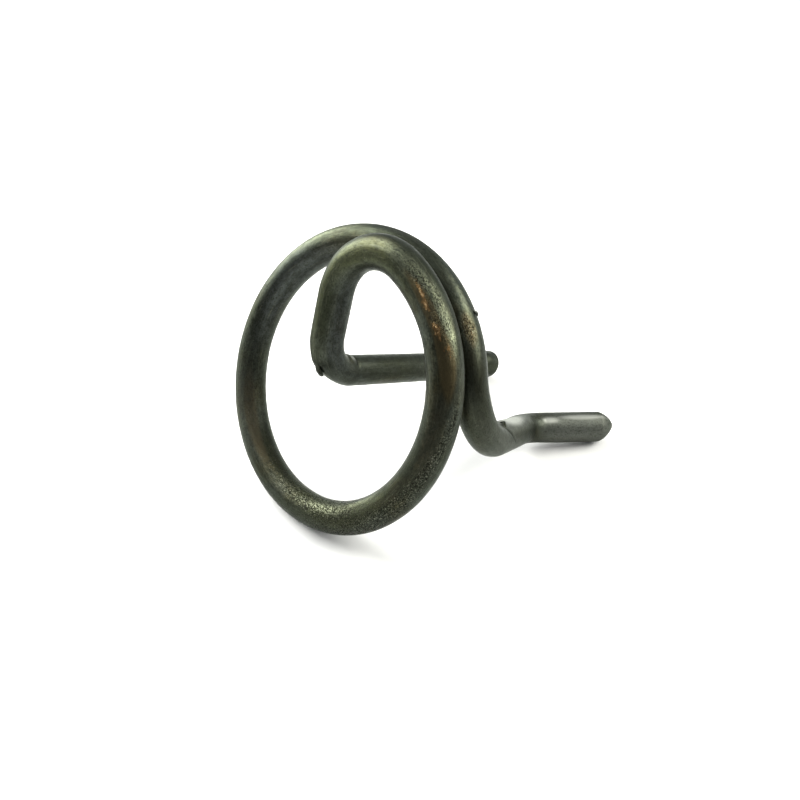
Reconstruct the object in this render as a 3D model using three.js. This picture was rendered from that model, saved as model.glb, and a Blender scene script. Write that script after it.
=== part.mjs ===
// Torsion coil spring, bent from one length of round spring-steel wire.
//
// A little more than one turn of wire makes the coil. At its inner end the wire turns in towards the
// coil's axis as a short arm, then bends back into a long straight leg that runs rearwards. At its
// outer end the wire bends rearwards as a short shank, then bends outwards into a short leg.
//
// The wire is drawn as the consecutive lengths that work differently: straight legs, bends and equal
// arcs of the coil. Cuts lie square across the wire, and the coil's cuts are where it flexes.
//
// Units are millimetres and +Z is up. The spring stands as it rests on a flat surface: on the bottom
// of the coil and the tips of both legs. Seen from the front, along +Y, the coil's axis runs away
// from the viewer and dips down. The origin is on that surface, under the middle of the spring.

import * as THREE from "three";

// Wire
const WIRE_DIAMETER = 3.5;
const WIRE_SIDES = 24;
const CUT_GAP = 0.1;

// Coil
const COIL_MEAN_RADIUS = 14.4;
const COIL_PITCH = 3.95;
const COIL_START_DEG = 66.3;
const COIL_SWEEP_DEG = 403;
const COIL_ARCS = 14;

// Inner end, from the coil to its tip
const ARM_BEND = { radius: 6.2, angle: 110.5, roll: -9.5 };
const ARM_LENGTH = 4.3;
const INNER_LEG_BEND = { radius: 4.7, angle: 86, roll: -87.5 };
const INNER_LEG_LENGTH = 26.3;
const INNER_TIP_CHAMFER = 0.6;

// Outer end, from the coil to its tip
const SHANK_BEND = { radius: 7, angle: 92, roll: -13.2 };
const SHANK_LENGTH = 9.7;
const OUTER_LEG_BEND = { radius: 4.1, angle: 58, roll: 93.5 };
const OUTER_LEG_LENGTH = 8.2;
const OUTER_TIP_CHAMFER = 0.7;

// Rest position: the coil's axis dips this far below level, and the coil's centre is here.
const AXIS_DIP_DEG = 28.7;
const COIL_CENTRE = new THREE.Vector3(-1.71, -11.84, 15.2);

// Surface finish, the same all along the wire
const STEEL_COLOUR = 0x4c5045;
const STEEL_ROUGHNESS = 0.45;
const STEEL_METALNESS = 0.85;

const ARC_STEP_DEG = 6;
const LONG_BEND_STEP_DEG = 8;

const rad = THREE.MathUtils.degToRad;
const wireRadius = WIRE_DIAMETER / 2;

// The coil's own directions: across and up lie in its plane, and axis is its axis, to the rear.
const across = new THREE.Vector3(1, 0, 0);
const axis = new THREE.Vector3(0, Math.cos(rad(AXIS_DIP_DEG)), -Math.sin(rad(AXIS_DIP_DEG)));
const up = new THREE.Vector3().crossVectors(across, axis);

// A stretch of the coil, from one angle to a smaller one: clockwise seen from the front, and rearwards.
class HelixCurve extends THREE.Curve {
  constructor(fromDeg, toDeg) {
    super();
    this.from = rad(fromDeg);
    this.to = rad(toDeg);
  }

  getPoint(t, target = new THREE.Vector3()) {
    const angle = THREE.MathUtils.lerp(this.from, this.to, t);
    const rise = (COIL_PITCH * (rad(COIL_START_DEG) - angle)) / (2 * Math.PI);
    return target
      .copy(COIL_CENTRE)
      .addScaledVector(across, COIL_MEAN_RADIUS * Math.cos(angle))
      .addScaledVector(up, COIL_MEAN_RADIUS * Math.sin(angle))
      .addScaledVector(axis, rise);
  }

  getTangent(t, target = new THREE.Vector3()) {
    const angle = THREE.MathUtils.lerp(this.from, this.to, t);
    return target
      .copy(axis)
      .multiplyScalar(COIL_PITCH / (2 * Math.PI))
      .addScaledVector(across, COIL_MEAN_RADIUS * Math.sin(angle))
      .addScaledVector(up, -COIL_MEAN_RADIUS * Math.cos(angle))
      .normalize();
  }
}

// A bend of constant radius that leaves start along heading and turns towards side.
class BendCurve extends THREE.Curve {
  constructor(start, heading, side, radius, angle) {
    super();
    this.centre = start.clone().addScaledVector(side, radius);
    this.heading = heading.clone();
    this.side = side.clone();
    this.radius = radius;
    this.angle = angle;
  }

  getPoint(t, target = new THREE.Vector3()) {
    const turned = t * this.angle;
    return target
      .copy(this.centre)
      .addScaledVector(this.side, -this.radius * Math.cos(turned))
      .addScaledVector(this.heading, this.radius * Math.sin(turned));
  }

  getTangent(t, target = new THREE.Vector3()) {
    const turned = t * this.angle;
    return target
      .copy(this.heading)
      .multiplyScalar(Math.cos(turned))
      .addScaledVector(this.side, Math.sin(turned));
  }
}

// The same curve without a short length at each end, which leaves the gaps at its cuts.
class TrimmedCurve extends THREE.Curve {
  constructor(curve, trim) {
    super();
    this.curve = curve;
    this.from = trim / curve.getLength();
    this.to = 1 - this.from;
  }

  getPoint(t, target) {
    return this.curve.getPoint(THREE.MathUtils.lerp(this.from, this.to, t), target);
  }

  getTangent(t, target) {
    return this.curve.getTangent(THREE.MathUtils.lerp(this.from, this.to, t), target);
  }
}

// Walks outwards from one end of the coil, bend by bend, and keeps the curve of each stretch.
class WireWalk {
  constructor(position, heading, side) {
    this.position = position.clone();
    this.heading = heading.clone();
    this.side = side.clone().addScaledVector(heading, -side.dot(heading)).normalize();
  }

  bend({ radius, angle, roll }) {
    this.side.applyAxisAngle(this.heading, rad(roll));
    const curve = new BendCurve(this.position, this.heading, this.side, radius, rad(angle));
    const hinge = this.heading.clone().cross(this.side);
    this.heading.applyAxisAngle(hinge, rad(angle));
    this.side.applyAxisAngle(hinge, rad(angle));
    this.position = curve.getPoint(1);
    return curve;
  }

  straight(length) {
    const end = this.position.clone().addScaledVector(this.heading, length);
    const curve = new THREE.LineCurve3(this.position.clone(), end);
    this.position = end.clone();
    return curve;
  }
}

function wireOutline() {
  const outline = new THREE.Shape();
  for (let i = 0; i < WIRE_SIDES; i++) {
    const angle = (2 * Math.PI * i) / WIRE_SIDES;
    const x = wireRadius * Math.cos(angle);
    const y = wireRadius * Math.sin(angle);
    if (i === 0) outline.moveTo(x, y);
    else outline.lineTo(x, y);
  }
  outline.closePath();
  return outline;
}

const spring = new THREE.Group();

function addMesh(name, geometry) {
  const material = new THREE.MeshStandardMaterial({
    color: STEEL_COLOUR,
    roughness: STEEL_ROUGHNESS,
    metalness: STEEL_METALNESS,
  });
  const mesh = new THREE.Mesh(geometry, material);
  mesh.name = name;
  spring.add(mesh);
  return mesh;
}

// A length of wire with a square cut at both ends.
function addWire(name, curve, steps) {
  const trimmed = new TrimmedCurve(curve, CUT_GAP / 2);
  const geometry = new THREE.ExtrudeGeometry(wireOutline(), { steps, extrudePath: trimmed });
  return addMesh(name, geometry);
}

function addBend(name, curve, angleDeg) {
  return addWire(name, curve, Math.ceil(angleDeg / LONG_BEND_STEP_DEG));
}

// A straight leg: square cut where it meets its bend, and a chamfered tip.
function addLeg(name, curve, chamfer) {
  const length = curve.getLength();
  const profile = [
    new THREE.Vector2(0, CUT_GAP / 2),
    new THREE.Vector2(wireRadius, CUT_GAP / 2),
    new THREE.Vector2(wireRadius, length - chamfer),
    new THREE.Vector2(wireRadius - chamfer, length),
    new THREE.Vector2(0, length),
  ];
  const mesh = addMesh(name, new THREE.LatheGeometry(profile, WIRE_SIDES));
  mesh.position.copy(curve.getPoint(0));
  mesh.quaternion.setFromUnitVectors(new THREE.Vector3(0, 1, 0), curve.getTangent(0));
  return mesh;
}

// Coil, in equal arcs numbered from its outer end
const coil = new HelixCurve(COIL_START_DEG, COIL_START_DEG - COIL_SWEEP_DEG);
const arcDeg = COIL_SWEEP_DEG / COIL_ARCS;
for (let i = 0; i < COIL_ARCS; i++) {
  const from = COIL_START_DEG - i * arcDeg;
  const number = String(COIL_ARCS - i).padStart(2, "0");
  addWire("coil_arc_" + number, new HelixCurve(from, from - arcDeg), Math.ceil(arcDeg / ARC_STEP_DEG));
}

// Inner end: in towards the axis, then rearwards
const coilStart = coil.getPoint(0);
const inwards = COIL_CENTRE.clone().sub(coilStart).normalize();
const inner = new WireWalk(coilStart, coil.getTangent(0).negate(), inwards);
addBend("inner_arm_bend", inner.bend(ARM_BEND), ARM_BEND.angle);
addWire("inner_arm", inner.straight(ARM_LENGTH), 1);
addBend("inner_leg_bend", inner.bend(INNER_LEG_BEND), INNER_LEG_BEND.angle);
addLeg("inner_leg", inner.straight(INNER_LEG_LENGTH), INNER_TIP_CHAMFER);

// Outer end: rearwards, then outwards
const outer = new WireWalk(coil.getPoint(1), coil.getTangent(1), axis);
addBend("outer_shank_bend", outer.bend(SHANK_BEND), SHANK_BEND.angle);
addWire("outer_shank", outer.straight(SHANK_LENGTH), 1);
addBend("outer_leg_bend", outer.bend(OUTER_LEG_BEND), OUTER_LEG_BEND.angle);
addLeg("outer_leg", outer.straight(OUTER_LEG_LENGTH), OUTER_TIP_CHAMFER);

export default spring;
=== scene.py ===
import math

import bpy
import numpy as np
from mathutils import Matrix, Vector, noise


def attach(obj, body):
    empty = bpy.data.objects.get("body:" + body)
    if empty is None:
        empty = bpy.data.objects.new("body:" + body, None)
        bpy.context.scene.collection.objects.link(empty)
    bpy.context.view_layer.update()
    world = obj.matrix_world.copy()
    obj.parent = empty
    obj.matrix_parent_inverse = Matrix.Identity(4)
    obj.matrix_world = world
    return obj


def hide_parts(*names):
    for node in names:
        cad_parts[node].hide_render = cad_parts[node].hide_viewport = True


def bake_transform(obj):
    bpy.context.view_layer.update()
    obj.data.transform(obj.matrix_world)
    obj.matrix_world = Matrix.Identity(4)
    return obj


# A torsion coil spring, bent from one length of round, dark spring-steel wire, at rest on a pale floor.
#
# Lengths are in metres and angles in degrees, unless a comment says otherwise. A place on the wire is a
# distance along it from the inner leg's tip, and an angle round it: on the coil, 0 degrees faces away
# from the coil's axis and 90 degrees faces the front. Rows of the mesh run from the inner tip too.

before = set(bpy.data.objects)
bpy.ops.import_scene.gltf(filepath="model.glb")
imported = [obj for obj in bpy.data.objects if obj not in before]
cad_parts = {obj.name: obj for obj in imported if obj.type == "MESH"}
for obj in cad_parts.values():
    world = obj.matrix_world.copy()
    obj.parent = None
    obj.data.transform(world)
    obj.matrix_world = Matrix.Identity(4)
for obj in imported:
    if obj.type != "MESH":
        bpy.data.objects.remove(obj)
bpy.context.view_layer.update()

MM = 0.001

# Wire and coil
WIRE_RADIUS = 1.75 * MM
COIL_RADIUS = 14.4 * MM
COIL_PITCH = 3.95 * MM
COIL_START = 66.3
COIL_SWEEP = 403
COIL_ARCS = 14
COIL_CENTRE = np.array((-1.71, -11.84, 15.2)) * MM
AXIS_DIP = 28.7
ARCS = [f"coil_arc_{number:02}" for number in range(1, COIL_ARCS + 1)]

# Inner end, from the coil to its tip
ARM_BEND = {"radius": 6.2 * MM, "angle": 110.5, "roll": -9.5}
ARM_LENGTH = 4.3 * MM
INNER_LEG_BEND = {"radius": 4.7 * MM, "angle": 86, "roll": -87.5}
INNER_LEG_LENGTH = 26.3 * MM

# Outer end, from the coil to its tip
SHANK_BEND = {"radius": 7 * MM, "angle": 92, "roll": -13.2}
SHANK_LENGTH = 9.7 * MM
OUTER_LEG_BEND = {"radius": 4.1 * MM, "angle": 58, "roll": 93.5}
OUTER_LEG_LENGTH = 8.2 * MM

# Tips: sheared off, then rounded over. The rounding varies round the tip by uneven, and is least at the
# angle sharpest. A taper of 1 makes the corner an arc, and 2 would make it a straight bevel. Extra draws
# the tip out past its leg's length. The end is a dome, and TIP_DOME is its height over its radius.
TIP_LENGTH = 2 * MM
TIP_DOME = 0.15
INNER_TIP = {
    "rounding": 0.95 * MM,
    "uneven": 0.3 * MM,
    "sharpest": -100,
    "taper": 1,
    "extra": 0,
}
OUTER_TIP = {
    "rounding": 1.6 * MM,
    "uneven": 0.1 * MM,
    "sharpest": -60,
    "taper": 1.4,
    "extra": 0.28 * MM,
}

# Mesh
ROW_STEP = 0.2 * MM
SIDES = 64
FLAKE_SIDES = 12

# How far the cut at each end of the coil reaches into the bend there
END_BEND_SHARE = 3.6 * MM

# The coil's own directions: across and up lie in its plane, and axis is its axis, to the rear.
ACROSS = np.array((1.0, 0.0, 0.0))
AXIS = np.array((0.0, math.cos(math.radians(AXIS_DIP)), -math.sin(math.radians(AXIS_DIP))))
UP = np.cross(ACROSS, AXIS)


# Camera

CAMERA_PLACE = Vector((46.085, -49.798, 54.756)) * MM
CAMERA_AZIMUTH = 44.52
CAMERA_ELEVATION = 35.25
CAMERA_ROLL = 2.62
CAMERA_LENS = 32.04


def direction_of(azimuth, elevation):
    """The way out from the spring. Azimuth 0 is in front of it and 90 to its right."""
    azimuth = math.radians(azimuth)
    elevation = math.radians(elevation)
    return Vector((
        math.sin(azimuth) * math.cos(elevation),
        -math.cos(azimuth) * math.cos(elevation),
        math.sin(elevation),
    ))


def add_camera():
    back = direction_of(CAMERA_AZIMUTH, CAMERA_ELEVATION)
    right = Vector((0, 0, 1)).cross(back).normalized()
    up = back.cross(right)
    roll = Matrix.Rotation(math.radians(-CAMERA_ROLL), 3, "Z")
    turn = Matrix((right, up, back)).transposed() @ roll
    data = bpy.data.cameras.new("camera")
    data.lens = CAMERA_LENS
    data.sensor_width = 36
    data.clip_start = 0.005
    data.clip_end = 10
    camera = bpy.data.objects.new("camera", data)
    camera.matrix_world = Matrix.Translation(CAMERA_PLACE) @ turn.to_4x4()
    bpy.context.scene.collection.objects.link(camera)
    bpy.context.scene.camera = camera


add_camera()


# Centreline of the wire


def unit(v):
    return v / np.linalg.norm(v)


def turned(v, about, angle):
    """v, turned by angle in radians about the unit vector about."""
    return (
        v * math.cos(angle)
        + np.cross(about, v) * math.sin(angle)
        + about * np.dot(about, v) * (1 - math.cos(angle))
    )


def even_steps(length):
    """An even number of steps, so that the middle of a stretch is a row of the mesh."""
    return 2 * math.ceil(length / (2 * ROW_STEP))


def coil_stretch(from_deg, to_deg):
    """Points and headings along the coil: clockwise seen from the front, and rearwards."""
    count = even_steps(math.radians(from_deg - to_deg) * COIL_RADIUS)
    angle = np.radians(np.linspace(from_deg, to_deg, count + 1))[:, None]
    rise = COIL_PITCH / (2 * math.pi)
    outwards = ACROSS * np.cos(angle) + UP * np.sin(angle)
    points = COIL_CENTRE + COIL_RADIUS * outwards + rise * (math.radians(COIL_START) - angle) * AXIS
    headings = COIL_RADIUS * (ACROSS * np.sin(angle) - UP * np.cos(angle)) + rise * AXIS
    return points, headings / np.linalg.norm(headings, axis=1)[:, None]


class Walk:
    """Follows the wire on from one end of the coil, and gives each stretch's points and headings."""

    def __init__(self, place, heading, side):
        self.place = place
        self.heading = heading
        self.side = unit(side - heading * np.dot(side, heading))

    def bend(self, radius, angle, roll):
        """An arc that turns towards the side, once the side has been rolled about the heading."""
        side = turned(self.side, self.heading, math.radians(roll))
        count = even_steps(math.radians(angle) * radius)
        turn = np.radians(np.linspace(0, angle, count + 1))[:, None]
        centre = self.place + side * radius
        points = centre - side * radius * np.cos(turn) + self.heading * radius * np.sin(turn)
        headings = self.heading * np.cos(turn) + side * np.sin(turn)
        hinge = np.cross(self.heading, side)
        self.side = turned(side, hinge, math.radians(angle))
        self.heading = headings[-1]
        self.place = points[-1]
        return points, headings

    def straight(self, length):
        along = np.linspace(0, length, even_steps(length) + 1)[:, None]
        points = self.place + self.heading * along
        headings = np.repeat(self.heading[None], len(points), axis=0)
        self.place = points[-1]
        return points, headings


def reversed_stretch(stretch):
    points, headings = stretch
    return points[::-1], -headings[::-1]


def wire_stretches():
    """Name, points and headings of each stretch, from the inner tip to the outer tip."""
    arc = COIL_SWEEP / COIL_ARCS
    coil = []
    for i, name in enumerate(reversed(ARCS)):
        start = COIL_START - i * arc
        coil.append((name, coil_stretch(start, start - arc)))
    coil_start, start_headings = coil[0][1]
    coil_end, end_headings = coil[-1][1]
    inner = Walk(coil_start[0], -start_headings[0], COIL_CENTRE - coil_start[0])
    inner_end = [
        ("inner_arm_bend", inner.bend(**ARM_BEND)),
        ("inner_arm", inner.straight(ARM_LENGTH)),
        ("inner_leg_bend", inner.bend(**INNER_LEG_BEND)),
        ("inner_leg", inner.straight(INNER_LEG_LENGTH - TIP_LENGTH)),
    ]
    outer = Walk(coil_end[-1], end_headings[-1], AXIS)
    outer_end = [
        ("outer_shank_bend", outer.bend(**SHANK_BEND)),
        ("outer_shank", outer.straight(SHANK_LENGTH)),
        ("outer_leg_bend", outer.bend(**OUTER_LEG_BEND)),
        ("outer_leg", outer.straight(OUTER_LEG_LENGTH - TIP_LENGTH)),
    ]
    backwards = [(name, reversed_stretch(stretch)) for name, stretch in reversed(inner_end)]
    return backwards + coil + outer_end


def carried(side, headings):
    """side, carried along the headings without twist: one side for each heading."""
    sides = []
    for heading in headings:
        side = unit(side - heading * np.dot(side, heading))
        sides.append(side)
    return sides


# Neighbouring stretches share a row, so each one adds all its points but the first.
stretches = wire_stretches()
first_row = {}
last_row = {}
points = [stretches[0][1][0][:1]]
headings = [stretches[0][1][1][:1]]
row = 0
for name, (stretch_points, stretch_headings) in stretches:
    first_row[name] = row
    row += len(stretch_points) - 1
    last_row[name] = row
    points.append(stretch_points[1:])
    headings.append(stretch_headings[1:])
points = np.concatenate(points)
headings = np.concatenate(headings)

# Where angle 0 is on each row. At the coil's inner end it faces away from the coil's axis.
coil_row = first_row[ARCS[-1]]
coil_outwards = unit(points[coil_row] - COIL_CENTRE)
sides = np.array(
    carried(coil_outwards, headings[coil_row::-1])[::-1]
    + carried(coil_outwards, headings[coil_row + 1 :])
)
steps = np.linalg.norm(np.diff(points, axis=0), axis=1)
distances = TIP_LENGTH + np.concatenate(([0], np.cumsum(steps)))


# Surface: one grid for the whole wire, of which each piece takes its rows. Each row has its own radius
# and its own reach along the wire on every side, so that the tips can round over unevenly.

angles = 2 * math.pi * np.arange(SIDES) / SIDES


def tip_rows(rounding, uneven, sharpest, taper, extra):
    """Reach beyond the wire's last row, and radius, from the wire to the middle of the end."""
    corner = rounding - uneven * np.cos(angles - math.radians(sharpest))
    start = TIP_LENGTH - corner
    reaches = []
    edges = []
    for share in (0.2, 0.4, 0.6, 0.8, 1):
        reaches.append(start * share)
        edges.append(np.full(SIDES, WIRE_RADIUS))
    for turn in np.radians(np.linspace(0, 90, 13)[1:]):
        reaches.append(start + (corner + extra) * math.sin(turn) ** taper)
        edges.append(WIRE_RADIUS - corner * (1 - abs(math.cos(turn)) ** taper))
    rim = edges[-1]
    dome = TIP_DOME * np.mean(rim)
    for share in (0.8, 0.6, 0.4, 0.2, 0.05):
        reaches.append(np.full(SIDES, TIP_LENGTH + extra + dome * (1 - share**2)))
        edges.append(rim * share)
    return np.array(reaches), np.array(edges)


inner_reach, inner_edges = tip_rows(**INNER_TIP)
outer_reach, outer_edges = tip_rows(**OUTER_TIP)
tip_count = len(inner_reach)
wire_count = len(points)
points = np.pad(points, ((tip_count, tip_count), (0, 0)), mode="edge")
headings = np.pad(headings, ((tip_count, tip_count), (0, 0)), mode="edge")
sides = np.pad(sides, ((tip_count, tip_count), (0, 0)), mode="edge")
distances = np.pad(distances, tip_count, mode="edge")
reach = np.concatenate((-inner_reach[::-1], np.zeros((wire_count, SIDES)), outer_reach))
radii = np.concatenate((inner_edges[::-1], np.full((wire_count, SIDES), WIRE_RADIUS), outer_edges))
first_row = {name: row + tip_count for name, row in first_row.items()}
last_row = {name: row + tip_count for name, row in last_row.items()}
first_row["inner_leg"] = 0
last_row["outer_leg"] = len(points) - 1

fronts = np.cross(headings, sides)
outwards = (
    sides[:, None, :] * np.cos(angles)[None, :, None]
    + fronts[:, None, :] * np.sin(angles)[None, :, None]
)

# The wire as if it were straight, in millimetres: what the grain of the steel follows.
straightened = np.empty((len(points), SIDES, 3))
straightened[:, :, 0] = radii / MM * np.cos(angles)[None, :]
straightened[:, :, 1] = radii / MM * np.sin(angles)[None, :]
straightened[:, :, 2] = (distances[:, None] + reach) / MM


def marked(marks):
    """The sum of the marks at each point of the grid.

    A mark is its distance and half-length along the wire in millimetres, its angle round it, how far
    that angle drifts for each millimetre along, its half-width in millimetres, and its strength. It is
    full in its middle, has faded by half at its half-length and half-width, and ends beyond them.
    """
    along = straightened[:, :, 2]
    around = np.degrees(angles)[None, :]
    covered = np.zeros((len(points), SIDES))
    for distance, length, angle, drift, width, strength in marks:
        away = (around - angle - drift * (along - distance) + 180) % 360 - 180
        across = np.radians(away) * WIRE_RADIUS / MM
        reached = np.hypot((along - distance) / length, across / width)
        fade = np.clip(1.5 - reached, 0, 1)
        covered += strength * fade * fade * (3 - 2 * fade)
    return covered


# Bumps, and dents where the strength is negative. It is their height in millimetres.
BUMPS = [
    (27.7, 0.8, -104, 0, 0.7, 0.14),
    (26.6, 0.3, -112, 0, 0.8, -0.05),
    (29.0, 1.6, 118, 0, 1.2, -0.16),
    (30.8, 1.2, 100, 0, 0.8, 0.10),
    (35.0, 5.0, -140, 0, 1.3, 0.14),
    (48.5, 6.0, 150, 0, 1.3, 0.09),
    (162.4, 1.4, -22, 28, 0.28, -0.12),
    (162.6, 0.6, -50, 0, 0.35, 0.10),
    (168.5, 2.6, -70, 0, 1.2, -0.08),
    (180.0, 5.0, 85, 0, 1.8, 0.13),
    (1.4, 1.3, -100, 0, 1.8, 0.20),
]

# The unevenness of drawn wire, in millimetres: long waves and short ripples
WAVE_HEIGHT = 0.014
WAVE_SCALE = Vector((0.55, 0.55, 0.35))
RIPPLE_HEIGHT = 0.006
RIPPLE_SCALE = 1.9
RIPPLE_SHIFT = Vector((31, 7, 0))


def surface_offset():
    """How far the surface stands out from a smooth wire, at each point of the grid."""
    offset = marked(BUMPS)
    for i in range(len(points)):
        for j in range(SIDES):
            place = Vector(straightened[i, j])
            wave = noise.noise(place * WAVE_SCALE)
            ripple = noise.noise(place * RIPPLE_SCALE + RIPPLE_SHIFT)
            offset[i, j] += WAVE_HEIGHT * wave + RIPPLE_HEIGHT * ripple
    return offset * (MM * radii / WIRE_RADIUS)


standing = radii + surface_offset()
grid = points[:, None, :] + reach[:, :, None] * headings[:, None, :] + standing[:, :, None] * outwards


def grid_normals():
    along = np.gradient(grid, axis=0)
    around = np.roll(grid, -1, axis=1) - np.roll(grid, 1, axis=1)
    normals = np.cross(around, along)
    return normals / np.linalg.norm(normals, axis=2)[:, :, None]


normals = grid_normals()


# Marks on the steel, some of them painted light or shade. A strength of 1 covers it fully, and more than
# 1 makes the full cover larger.
MARKS = {
    "copper": [
        (52.9, 0.9, 71, 0, 0.15, 0.55),
        (54.5, 1.1, 73, 0, 0.34, 0.45),
        (57.1, 0.9, 66, -4.0, 0.34, 0.55),
        (59.0, 0.7, 46, 0, 0.40, 0.28),
        (147.6, 1.2, 48, 0, 0.30, 0.20),
    ],
    "brown": [
        (55.5, 4.5, 70, -2.2, 0.60, 0.9),
        (60.0, 2.6, 48, -2.0, 0.8, 0.9),
        (66.0, 6.0, 70, 0, 1.2, 0.38),
        (102.0, 6.0, 143, 0, 0.8, 0.65),
        (147.4, 1.6, 52, 0, 0.7, 0.8),
        (91.0, 9.0, 130, 0, 1.0, 0.35),
    ],
    # Partly steel rubbed bright, partly painted highlight: lighter flecked steel laid where the lamps'
    # highlights fall
    "bare_and_highlight": [
        (55.5, 3.5, 34, -3.5, 0.45, 0.6),
        (57.8, 0.5, 25, 0, 0.30, 0.4),
        (50.0, 3.0, 50, -1.0, 0.45, 0.4),
        (45.5, 4.0, 68, -1.0, 0.45, 0.2),
        (146.0, 4.0, 40, 0, 0.30, 0.3),
        (83.8, 3.2, 132, 1.5, 0.42, 0.8),
        (78.0, 3.0, 142, 0, 0.25, 0.6),
        (126.0, 5.0, 60, -2.0, 0.5, 0.5),
    ],
    "pitted": [
        (54.5, 4.5, 45, -2.5, 0.8, 0.75),
        (51.5, 1.5, 60, -2.5, 0.5, 0.6),
        (56.2, 0.6, 66, 0, 0.25, 1.3),
        (67.0, 4.5, 33, 5.0, 0.55, 1.0),
        (74.5, 6.0, 52, 0, 1.1, 0.9),
        (81.0, 6.0, 66, 0, 1.8, 0.9),
        (86.5, 9.0, 150, 0, 1.3, 0.9),
        (147.4, 1.6, 58, 0, 0.8, 0.9),
    ],
    # Partly slate oxide, partly painted bluish reflection: bluish grey on the upper left of the coil,
    # the arm and the elbow
    "cool_oxide_and_reflection": [
        (121.0, 10.0, 160, 0, 1.7, 1.0),
        (36.0, 6.0, -165, 0, 1.4, 0.9),
        (29.0, 4.0, 170, 0, 2.0, 0.45),
    ],
    "olive": [
        (44.5, 5.5, 98, 0, 1.2, 0.65),
        (36.0, 6.0, 86, 0, 0.6, 0.5),
        (91.0, 7.0, 175, 0, 0.8, 0.6),
        (80.0, 5.0, 108, 0, 1.2, 0.7),
    ],
    "heavy": [
        (68.5, 6.0, 84, 2.0, 1.0, 0.85),
        (153.0, 4.5, 45, 0, 1.8, 1.0),
        (18.0, 9.0, -136, 0, 2.5, 0.6),
        (93.0, 4.0, 152, 0, 0.8, 0.6),
        (95.5, 5.0, -160, 0, 1.0, 1.0),
        (79.5, 3.5, 105, 0, 0.9, 0.6),
    ],
    # Partly wear, partly painted sheen: lighter, rougher steel, mostly on the outer bend and over the
    # outer leg
    "wear_and_sheen": [
        (165.0, 7.0, 0, 0, 2.4, 0.55),
        (159.0, 4.0, 45, 0, 1.8, 0.25),
        (180.0, 5.0, 40, 0, 4.0, 1.0),
        (103.0, 6.0, 125, 0, 1.4, 0.3),
    ],
    # Partly polish, partly painted highlight: a near-white colour laid where the lamps' highlights fall
    # on the bends and the outer leg
    "polish_and_highlight": [
        (167.0, 3.2, -66, 0, 0.9, 1.0),
        (176.4, 1.0, -26, 0, 0.38, 0.4),
        (180.6, 2.6, -38, 0, 0.32, 0.5),
        (27.6, 0.5, -104, 0, 0.35, 0.3),
    ],
    # Partly grime, partly painted shade: near-black put in the crease and dent at the bends, by the
    # outer burr and along a nick, and one dark speck
    "dirt_and_shade": [
        (162.4, 1.4, -22, 28, 0.26, 0.75),
        (26.6, 0.25, -112, 0, 0.7, 0.7),
        (163.0, 0.3, -56, 0, 0.3, 0.9),
        (55.9, 0.2, 73, 0, 0.18, 0.9),
        (86.6, 0.45, 130, 45, 0.16, 1.0),
    ],
}

coverage = {name: np.clip(marked(marks), 0, 1) for name, marks in MARKS.items()}


# Steel


class Nodes:
    """Short ways to add and link the nodes of one material."""

    def __init__(self, owner):
        self.tree = owner.node_tree

    def add(self, kind, inputs=None, **settings):
        node = self.tree.nodes.new(kind)
        for name, value in settings.items():
            setattr(node, name, value)
        for name, value in (inputs or {}).items():
            self.put(value, node.inputs[name])
        return node

    def put(self, value, socket):
        """Links the socket to the output that value is, or sets it to value."""
        if isinstance(value, bpy.types.NodeSocket):
            self.tree.links.new(value, socket)
        else:
            socket.default_value = value

    def attribute(self, name, output):
        return self.add("ShaderNodeAttribute", attribute_name=name).outputs[output]

    def math(self, operation, *values):
        node = self.add("ShaderNodeMath", operation=operation)
        for socket, value in zip(node.inputs, values):
            self.put(value, socket)
        return node.outputs[0]

    def times(self, a, b):
        return self.math("MULTIPLY", a, b)

    def times_plus(self, a, b, c):
        """a times b, plus c."""
        return self.math("MULTIPLY_ADD", a, b, c)

    def vector(self, operation, a, b, output="Vector"):
        node = self.add("ShaderNodeVectorMath", operation=operation)
        self.put(a, node.inputs[0])
        self.put(b, node.inputs[1])
        return node.outputs[output]

    def noise(self, place, scale, detail, roughness=0.5, along=1.0, shift=0):
        """Noise at a place. Along under 1 draws it out along Z, the straightened wire's length."""
        if along != 1:
            place = self.vector("MULTIPLY", place, (1, 1, along))
        if shift:
            place = self.vector("ADD", place, (shift, shift, shift))
        inputs = {"Vector": place, "Scale": scale, "Detail": detail, "Roughness": roughness}
        return self.add("ShaderNodeTexNoise", inputs).outputs["Fac"]

    def step(self, value, start, end):
        """0 at start, 1 at end, and smooth between them. Either may be the larger."""
        inputs = {"Value": value, "From Min": start, "From Max": end}
        return self.add("ShaderNodeMapRange", inputs, interpolation_type="SMOOTHSTEP").outputs[0]

    def mix(self, share, a, b):
        node = self.add("ShaderNodeMix", data_type="RGBA")
        self.put(share, node.inputs[0])
        self.put(a, node.inputs[6])
        self.put(b, node.inputs[7])
        return node.outputs[2]

    def cover(self, tone, share, strength, paint):
        """tone, covered by paint as far as share goes, at most at the strength given."""
        return self.mix(self.times(share, strength), tone, paint)


def colour(red, green, blue):
    return (red, green, blue, 1)


# Colours of the oxide, of what shows through it or lies on it, and of painted highlights, sheen,
# reflection and shade
OXIDE = colour(0.033, 0.038, 0.024)
OXIDE_GREY = colour(0.046, 0.052, 0.041)
OXIDE_WARM = colour(0.041, 0.040, 0.023)
OXIDE_OLIVE = colour(0.046, 0.050, 0.019)
# Slate oxide and painted bluish reflection
COOL_OXIDE_AND_REFLECTION = colour(0.049, 0.055, 0.054)
OXIDE_DIM = colour(0.014, 0.015, 0.010)
OXIDE_HEAVY = colour(0.017, 0.018, 0.013)
DRAW_LINES = colour(0.084, 0.090, 0.066)
FINE_GRAIN = colour(0.015, 0.016, 0.011)
BROWN = colour(0.066, 0.053, 0.028)
# Painted highlight, partly steel rubbed bright
SCOURED_AND_HIGHLIGHT = colour(0.20, 0.215, 0.14)
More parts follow.
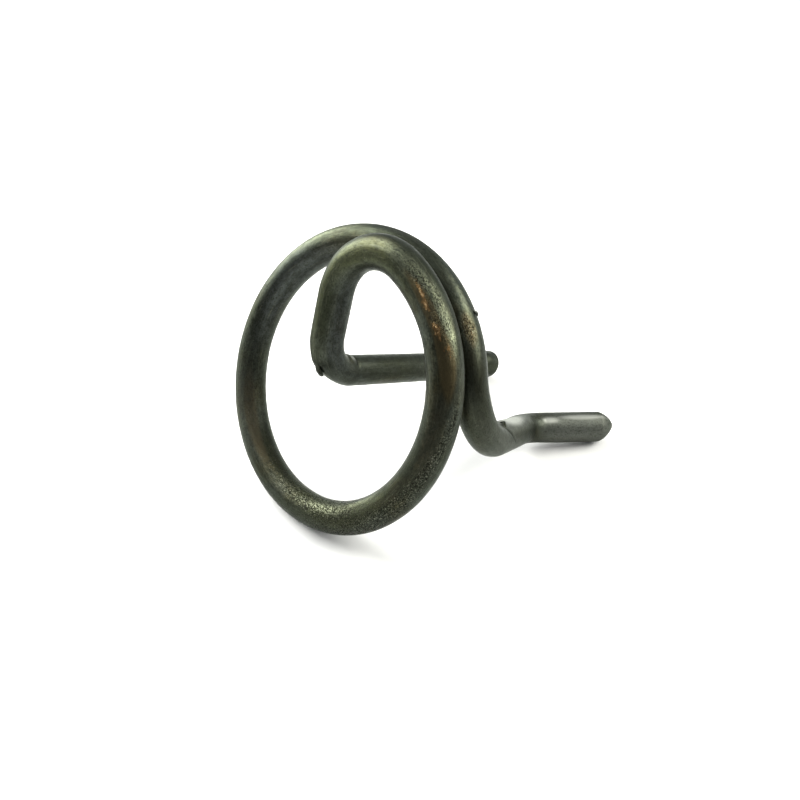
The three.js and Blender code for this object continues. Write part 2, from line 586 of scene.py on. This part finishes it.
# Painted sheen, partly wear
WEAR_AND_SHEEN = colour(0.112, 0.118, 0.104)
# Painted highlight, partly polish: near-white steel
POLISH_AND_HIGHLIGHT = colour(0.48, 0.49, 0.45)
AMBER = colour(0.150, 0.088, 0.036)
COPPER = colour(0.40, 0.27, 0.14)
GLINT = colour(0.19, 0.195, 0.15)
PIT = colour(0.008, 0.008, 0.005)
# Grime and painted shade: near black
DIRT_AND_SHADE = colour(0.008, 0.008, 0.007)


def steel_patterns(nodes, mark):
    """What varies over the steel. Pits thicken where it is marked as pitted, and thin out elsewhere."""
    place = nodes.attribute("wire_place", "Vector")
    pattern = {
        "patches": nodes.noise(place, 0.28, 3, 0.6, along=0.5),
        "warm": nodes.noise(place, 0.33, 3, 0.6, along=0.5, shift=40),
        "mottle": nodes.noise(place, 1.7, 4, 0.65, along=0.6),
        "lines": nodes.noise(place, 4.5, 4, 0.7, along=0.05),
        "grain": nodes.noise(place, 6.5, 3, 0.75, along=0.7),
        "flecks": nodes.noise(place, 5.0, 3, 0.7, along=0.55, shift=9),
        "specks": nodes.noise(place, 8.0, 3, 0.7, along=0.85, shift=23),
    }
    spread = nodes.step(nodes.noise(place, 0.5, 2), 0.45, 0.75)
    pitting = nodes.math("MAXIMUM", mark["pitted"], nodes.times(spread, 0.5))
    limit = nodes.times_plus(pitting, -0.22, 0.72)
    pattern["pitting"] = pitting
    pattern["pits"] = nodes.step(nodes.math("SUBTRACT", pattern["specks"], limit), -0.01, 0.06)
    pattern["glints"] = nodes.times(nodes.step(pattern["specks"], 0.44, 0.30), pitting)
    return pattern


def steel_tone(nodes, mark, pattern):
    """The steel's colour: oxide first, then what shows through or lies on it, and painted highlights,
    sheen, reflection and shade.
    """
    mottle = pattern["mottle"]
    grain = pattern["grain"]
    flecks = pattern["flecks"]
    tone = nodes.mix(nodes.step(pattern["patches"], 0.35, 0.65), OXIDE, OXIDE_GREY)
    tone = nodes.mix(nodes.step(pattern["warm"], 0.48, 0.68), tone, OXIDE_WARM)
    tone = nodes.cover(tone, mark["olive"], 0.8, OXIDE_OLIVE)
    # Slate oxide and painted bluish reflection
    tone = nodes.cover(tone, mark["cool_oxide_and_reflection"], 0.8, COOL_OXIDE_AND_REFLECTION)
    tone = nodes.cover(tone, nodes.step(mottle, 0.62, 0.36), 0.5, OXIDE_DIM)
    tone = nodes.cover(tone, nodes.step(pattern["lines"], 0.52, 0.72), 0.55, DRAW_LINES)
    tone = nodes.cover(tone, mark["heavy"], 0.6, OXIDE_HEAVY)
    tone = nodes.cover(tone, nodes.step(grain, 0.52, 0.36), 0.65, FINE_GRAIN)
    stained = nodes.step(nodes.times_plus(mottle, 0.6, mark["brown"]), 0.5, 1.2)
    tone = nodes.cover(tone, stained, 0.8, BROWN)
    # Painted highlight, partly steel rubbed bright, broken up by flecks
    scoured_and_highlight = nodes.times(mark["bare_and_highlight"], nodes.step(flecks, 0.36, 0.58))
    tone = nodes.cover(tone, scoured_and_highlight, 0.8, SCOURED_AND_HIGHLIGHT)
    # Painted sheen, partly wear: lighter steel where the grain allows
    wear_and_sheen = nodes.times(mark["wear_and_sheen"], nodes.step(grain, 0.2, 0.6))
    tone = nodes.cover(tone, wear_and_sheen, 0.8, WEAR_AND_SHEEN)
    # Painted highlight, partly polish, laid over the tone
    tone = nodes.cover(tone, mark["polish_and_highlight"], 0.9, POLISH_AND_HIGHLIGHT)
    bared = nodes.times_plus(mark["copper"], 0.62, nodes.times(flecks, 0.8))
    amber = nodes.times(nodes.step(bared, 0.56, 0.70), nodes.step(mark["copper"], 0.02, 0.15))
    tone = nodes.cover(tone, amber, 0.8, AMBER)
    broken = nodes.times_plus(pattern["specks"], 0.7, bared)
    tone = nodes.mix(nodes.times(nodes.step(broken, 1.08, 1.2), amber), tone, COPPER)
    tone = nodes.cover(tone, pattern["glints"], 0.7, GLINT)
    tone = nodes.cover(tone, pattern["pits"], 0.85, PIT)
    # Grime and painted shade in the crease, dents and nick
    return nodes.cover(tone, mark["dirt_and_shade"], 0.85, DIRT_AND_SHADE)


def steel_roughness(nodes, mark, pattern):
    rough = nodes.times_plus(pattern["grain"], 0.34, 0.22)
    rough = nodes.times_plus(nodes.step(pattern["mottle"], 0.4, 0.65), -0.06, rough)
    rough = nodes.times_plus(mark["wear_and_sheen"], 0.17, rough)
    return nodes.times_plus(pattern["pits"], 0.3, rough)


def steel_bump(nodes, pattern):
    """Draw lines, mottling and pits, with grain that is rougher where the steel is pitted."""
    rasp = nodes.times_plus(pattern["pitting"], 1.6, 0.8)
    height = nodes.times(pattern["lines"], 0.8)
    height = nodes.times_plus(pattern["grain"], rasp, height)
    height = nodes.times_plus(pattern["mottle"], 0.7, height)
    height = nodes.times_plus(pattern["pits"], -1.3, height)
    inputs = {"Height": height, "Strength": 1.0, "Distance": 0.026 * MM}
    return nodes.add("ShaderNodeBump", inputs).outputs["Normal"]


def steel_material():
    """Dark spring steel: streaky oxide along the drawn wire, pits and stains, wear, and painted
    highlights, sheen, bluish reflections and crease shade.
    """
    material = bpy.data.materials.new("spring_steel")
    material.use_nodes = True
    nodes = Nodes(material)
    shader = material.node_tree.nodes["Principled BSDF"]
    mark = {name: nodes.attribute(name, "Fac") for name in MARKS}
    pattern = steel_patterns(nodes, mark)
    nodes.put(steel_tone(nodes, mark, pattern), shader.inputs["Base Color"])
    nodes.put(steel_roughness(nodes, mark, pattern), shader.inputs["Roughness"])
    nodes.put(steel_bump(nodes, pattern), shader.inputs["Normal"])
    shader.inputs["Metallic"].default_value = 1.0
    shader.inputs["Specular Tint"].default_value = colour(0.7, 0.72, 0.70)
    return material


steel = steel_material()


def steel_piece(name, mesh, places, marks):
    """A piece of steel. Its grain follows places, and marks holds the strength of each mark there."""
    place = mesh.attributes.new("wire_place", "FLOAT_VECTOR", "POINT")
    place.data.foreach_set("vector", places.ravel())
    for mark, strengths in marks.items():
        attribute = mesh.attributes.new(mark, "FLOAT", "POINT")
        attribute.data.foreach_set("value", strengths.ravel())
    mesh.polygons.foreach_set("use_smooth", [True] * len(mesh.polygons))
    mesh.materials.append(steel)
    piece = bpy.data.objects.new(name, mesh)
    bpy.context.scene.collection.objects.link(piece)
    return piece


# Pieces: rigid lengths at both ends, and one length of coil across each joint


def wire_piece(name, first, last):
    """A closed length of the wire, from one row of the grid to another."""
    count = last - first + 1
    faces = []
    loop_normals = []
    for i in range(count - 1):
        for j in range(SIDES):
            k = (j + 1) % SIDES
            corners = ((i, j), (i, k), (i + 1, k), (i + 1, j))
            faces.append([a * SIDES + b for a, b in corners])
            loop_normals.extend(normals[first + a, b] for a, b in corners)
    faces.append(list(reversed(range(SIDES))))
    loop_normals.extend([-headings[first]] * SIDES)
    faces.append([(count - 1) * SIDES + j for j in range(SIDES)])
    loop_normals.extend([headings[last]] * SIDES)
    rows = slice(first, last + 1)
    mesh = bpy.data.meshes.new(name)
    mesh.from_pydata(grid[rows].reshape(-1, 3).tolist(), [], faces)
    mesh.update()
    marks = {mark: covered[rows] for mark, covered in coverage.items()}
    piece = steel_piece(name, mesh, straightened[rows], marks)
    mesh.normals_split_custom_set([tuple(n) for n in loop_normals])
    return piece


def row_at(distance):
    return int(np.argmin(np.abs(distances - distance)))


def rigid_piece(node, body):
    piece = wire_piece(node + "_steel", first_row[node], last_row[node])
    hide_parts(node)
    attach(piece, body)


def flexing_piece(number, inner_body, outer_body):
    """The coil's length across one joint, from a square cut on one body to a square cut on the next.
    """
    first = cut_row[inner_body]
    last = cut_row[outer_body]
    piece = wire_piece(f"coil_length_{number:02}_steel", first, last)
    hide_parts(*[body for body in (inner_body, outer_body) if body in ARCS])
    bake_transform(piece)


# Where the coil is cut: in the middle of each arc, and a little way into the bends at its ends
cut_row = {arc: (first_row[arc] + last_row[arc]) // 2 for arc in ARCS}
cut_row["inner_end"] = row_at(distances[first_row[ARCS[-1]]] - END_BEND_SHARE)
cut_row["outer_end"] = row_at(distances[last_row[ARCS[0]]] + END_BEND_SHARE)
last_row["inner_arm_bend"] = cut_row["inner_end"]
first_row["outer_shank_bend"] = cut_row["outer_end"]

for node in ("inner_leg", "inner_leg_bend", "inner_arm", "inner_arm_bend"):
    rigid_piece(node, "inner_end")
for node in ("outer_shank_bend", "outer_shank", "outer_leg_bend", "outer_leg"):
    rigid_piece(node, "outer_end")
chain = ["outer_end", *ARCS, "inner_end"]
for number, (outer_body, inner_body) in enumerate(zip(chain, chain[1:]), start=1):
    flexing_piece(number, inner_body, outer_body)


# Loose bits: burrs that the bending tools raised on the bends, and a speck on the coil


# Unless told otherwise, a flake is darkened by half with the grime and painted-shade colour.
def flake(name, body, places, widths, thickness, lift, mark="dirt_and_shade", strength=0.5):
    """A closed sliver that follows places on the wire, each a distance and an angle, and stands off it.

    Distances, widths, thickness and lift are in millimetres.
    """
    count = len(places)
    spine = []
    for (distance, degrees), stand_off in zip(places, lift):
        row = row_at(distance * MM)
        angle = math.radians(degrees)
        outward = unit(sides[row] * math.cos(angle) + fronts[row] * math.sin(angle))
        spine.append((points[row] + outward * (WIRE_RADIUS + stand_off * MM), outward))
    vertices = []
    for i, (centre, outward) in enumerate(spine):
        before = spine[max(i - 1, 0)][0]
        after = spine[min(i + 1, count - 1)][0]
        across = unit(np.cross(unit(after - before), outward))
        for j in range(FLAKE_SIDES):
            turn = 2 * math.pi * j / FLAKE_SIDES
            wide = across * math.cos(turn) * widths[i] / 2
            thick = outward * math.sin(turn) * thickness * widths[i] / max(widths) / 2
            vertices.append(centre + (wide + thick) * MM)
    vertices = np.array(vertices)
    last_ring = (count - 1) * FLAKE_SIDES
    faces = [list(range(FLAKE_SIDES)), [last_ring + j for j in reversed(range(FLAKE_SIDES))]]
    for i in range(count - 1):
        for j in range(FLAKE_SIDES):
            k = (j + 1) % FLAKE_SIDES
            corners = ((i, j), (i + 1, j), (i + 1, k), (i, k))
            faces.append([a * FLAKE_SIDES + b for a, b in corners])
    mesh = bpy.data.meshes.new(name)
    mesh.from_pydata(vertices.tolist(), [], faces)
    mesh.update()
    piece = steel_piece(name, mesh, vertices / MM, {mark: np.full(len(vertices), strength)})
    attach(piece, body)


flake(
    "inner_elbow_burr",
    "inner_end",
    places=[(31.4, 108), (30.9, 106), (30.4, 105), (30.0, 104), (29.7, 104), (29.55, 104)],
    widths=[0.2, 0.5, 0.75, 0.9, 0.8, 0.45],
    thickness=0.42,
    lift=[0.0, 0.03, 0.07, 0.11, 0.14, 0.15],
)
flake(
    "outer_bend_burr",
    "outer_end",
    places=[(162.9, -72), (162.8, -64), (162.6, -56), (162.3, -48), (162.0, -42)],
    widths=[0.1, 0.25, 0.4, 0.3, 0.1],
    thickness=0.3,
    lift=[0.0, 0.10, 0.20, 0.12, 0.0],
)
flake(
    "coil_speck",
    "coil_arc_01",
    places=[(145.9, 14), (146.05, 14), (146.2, 14), (146.35, 14)],
    widths=[0.1, 0.26, 0.26, 0.1],
    thickness=0.34,
    lift=[0.06, 0.15, 0.22, 0.20],
    # The speck takes a little of the polish and painted-highlight colour
    mark="polish_and_highlight",
    strength=0.3,
)


# Floor and light

FLOOR_HALF = 0.4
PANEL_DISTANCE = 0.4
PAPER_WHITE = 1.15


def add_floor():
    mesh = bpy.data.meshes.new("floor")
    corners = [(-1, -1), (1, -1), (1, 1), (-1, 1)]
    mesh.from_pydata([(x * FLOOR_HALF, y * FLOOR_HALF, 0) for x, y in corners], [], [(0, 1, 2, 3)])
    floor = bpy.data.objects.new("floor", mesh)
    bpy.context.scene.collection.objects.link(floor)
    material = bpy.data.materials.new("floor_paper")
    material.use_nodes = True
    nodes = Nodes(material)
    shader = material.node_tree.nodes["Principled BSDF"]
    place = nodes.add("ShaderNodeTexCoord").outputs["Object"]
    paper = nodes.mix(nodes.noise(place, 900, 3), colour(0.86, 0.86, 0.86), colour(0.9, 0.9, 0.9))
    nodes.put(paper, shader.inputs["Base Color"])
    shader.inputs["Roughness"].default_value = 0.9
    shader.inputs["Specular IOR Level"].default_value = 0.1
    mesh.materials.append(material)


def add_panel(name, azimuth, elevation, width, height, radiance, tint):
    """A soft panel that faces the spring."""
    outwards = direction_of(azimuth, elevation)
    data = bpy.data.lights.new(name, "AREA")
    data.shape = "RECTANGLE"
    data.size = width
    data.size_y = height
    data.energy = radiance * math.pi * width * height
    data.color = tint
    light = bpy.data.objects.new(name, data)
    light.location = PANEL_DISTANCE * outwards
    light.rotation_euler = outwards.to_track_quat("Z", "Y").to_euler()
    light.visible_camera = False
    bpy.context.scene.collection.objects.link(light)


def add_world():
    """A pale room, brighter at the rear and darker on the camera's side, and white below the horizon."""
    world = bpy.data.worlds.new("studio")
    world.use_nodes = True
    nodes = Nodes(world)
    background = world.node_tree.nodes["Background"]
    direction = nodes.add("ShaderNodeTexCoord").outputs["Generated"]
    rearwards = nodes.vector("DOT_PRODUCT", direction, (-0.5, 0.8, 0.3), "Value")
    strength = nodes.times_plus(nodes.step(rearwards, -0.4, 0.8), 0.66, 0.28)
    height = nodes.add("ShaderNodeSeparateXYZ", {"Vector": direction}).outputs["Z"]
    below = nodes.step(height, 0, -0.01)
    strength = nodes.math("MAXIMUM", strength, nodes.times(below, PAPER_WHITE))
    nodes.put(strength, background.inputs["Strength"])
    background.inputs["Color"].default_value = colour(0.97, 1, 1)
    bpy.context.scene.world = world


add_floor()
add_panel("left_panel", -82, 32, 0.34, 0.36, 10.6, (1.0, 1.0, 0.96))
add_panel("rear_right_panel", 130, 40, 0.26, 0.24, 10.2, (1.0, 0.99, 0.92))
add_world()
bpy.context.scene.view_settings.view_transform = "Standard"
